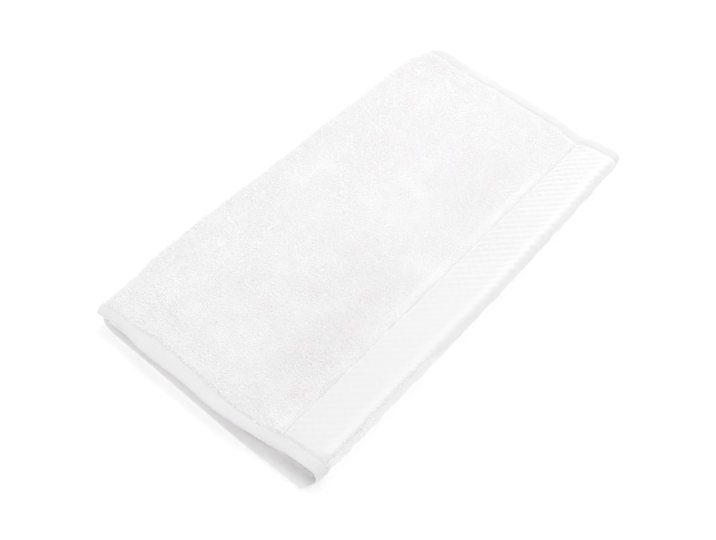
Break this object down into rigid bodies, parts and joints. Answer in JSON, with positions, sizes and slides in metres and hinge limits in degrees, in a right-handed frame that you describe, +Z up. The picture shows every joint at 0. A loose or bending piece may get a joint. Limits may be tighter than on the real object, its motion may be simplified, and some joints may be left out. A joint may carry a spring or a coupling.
{
  "type": "folded terry hand towel",
  "caption": "White terry hand towel with a flat woven band beside one long fold, folded in half and in half again into a long flat bundle.",
  "frame": {"origin": "on the surface below, at the middle of the folded bundle", "axes": "+X along the long side, away from the near short side; +Y across the bundle, from the fold with the woven band to the other fold; +Z up"},
  "size_m": [0.5163, 0.2529, 0.0138],
  "materials": {
    "terry": "white cotton terry loops, flat woven band and smooth side hems, matt"
  },
  "bodies": {
    "root": {"towel": "terry"}
  },
  "joints": []
}
